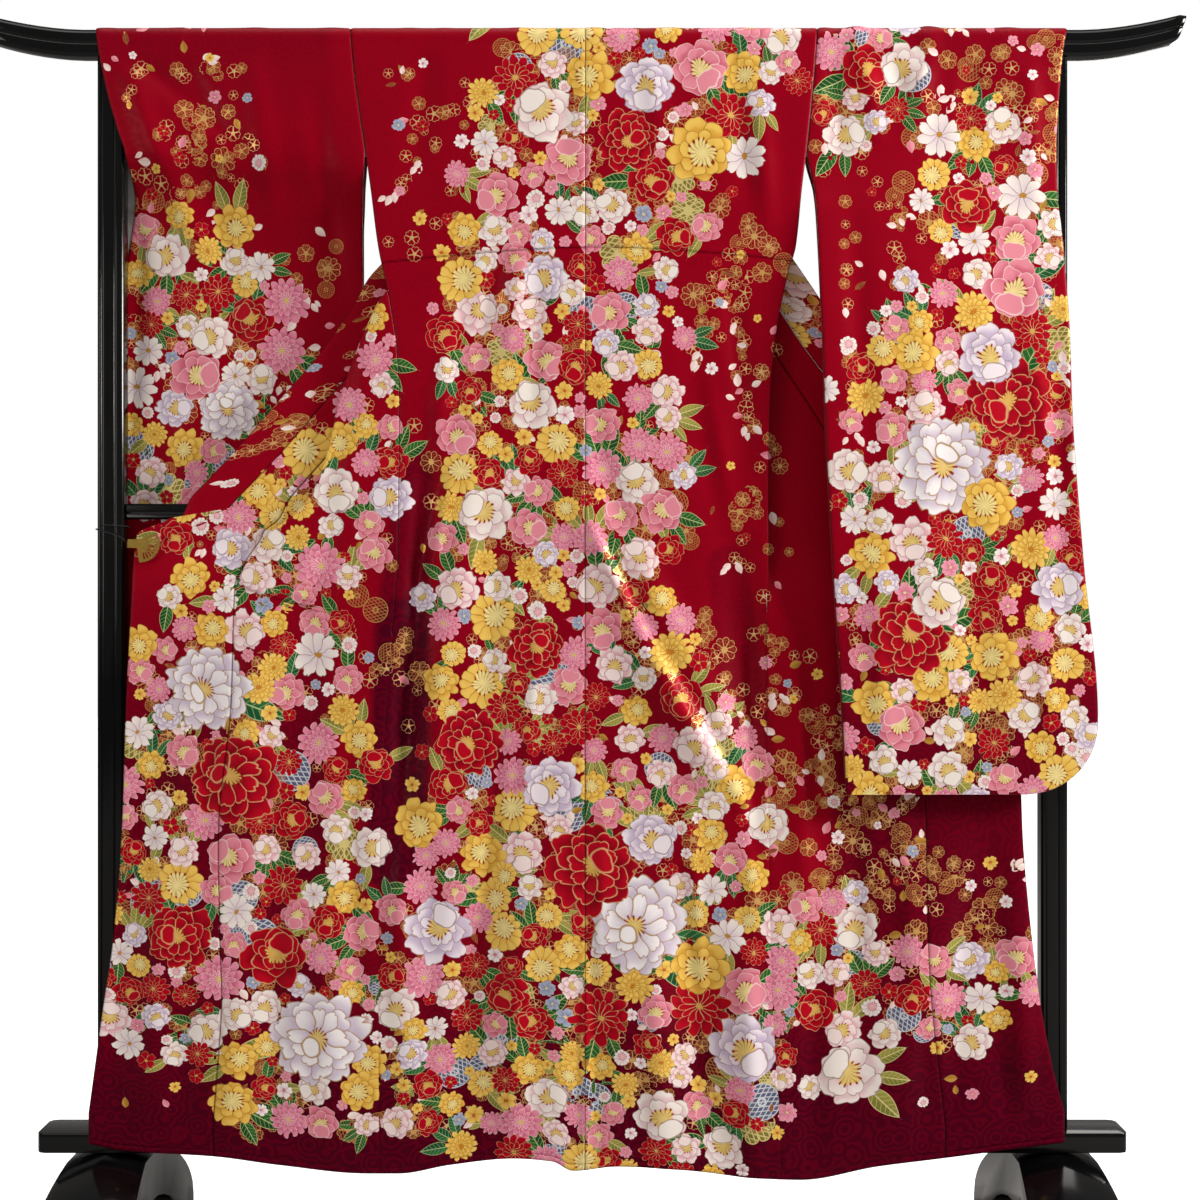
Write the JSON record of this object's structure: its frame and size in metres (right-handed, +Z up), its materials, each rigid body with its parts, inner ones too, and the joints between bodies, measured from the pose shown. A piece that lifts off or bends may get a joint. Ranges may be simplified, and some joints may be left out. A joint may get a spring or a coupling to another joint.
{
  "type": "furisode kimono on a kimono stand",
  "caption": "Long-sleeved silk kimono hung by its sleeves on a lacquered stand, its fronts spread and clipped to the posts.",
  "frame": {"origin": "on the floor, under the middle of the stand", "axes": "+Z up; +Y from the garment's back, which shows, towards its fronts; +X along the bar, to the right of a viewer of the back"},
  "size_m": [1.724, 0.48, 1.7652],
  "materials": {
    "silk": "crimson figured silk with a satin face, printed with flowers",
    "lacquer": "gloss black lacquer on wood",
    "gilt": "gilt, slightly worn",
    "cord": "matt twisted cord"
  },
  "bodies": {
    "root": {"top_bar": "lacquer", "mid_rail": "lacquer", "base_board": "lacquer", "post_left": "lacquer", "post_right": "lacquer", "foot_left": "lacquer", "foot_right": "lacquer", "body_left": "silk", "body_right": "silk", "overlap_left": "silk", "overlap_right": "silk", "sleeve_left": "silk", "sleeve_right": "silk", "collar": "silk", "clip_fan_left": "gilt", "clip_fan_right": "gilt", "clip_spring_left": "gilt", "clip_spring_right": "gilt", "clip_cord_left": "cord", "clip_cord_right": "cord"}
  },
  "joints": []
}
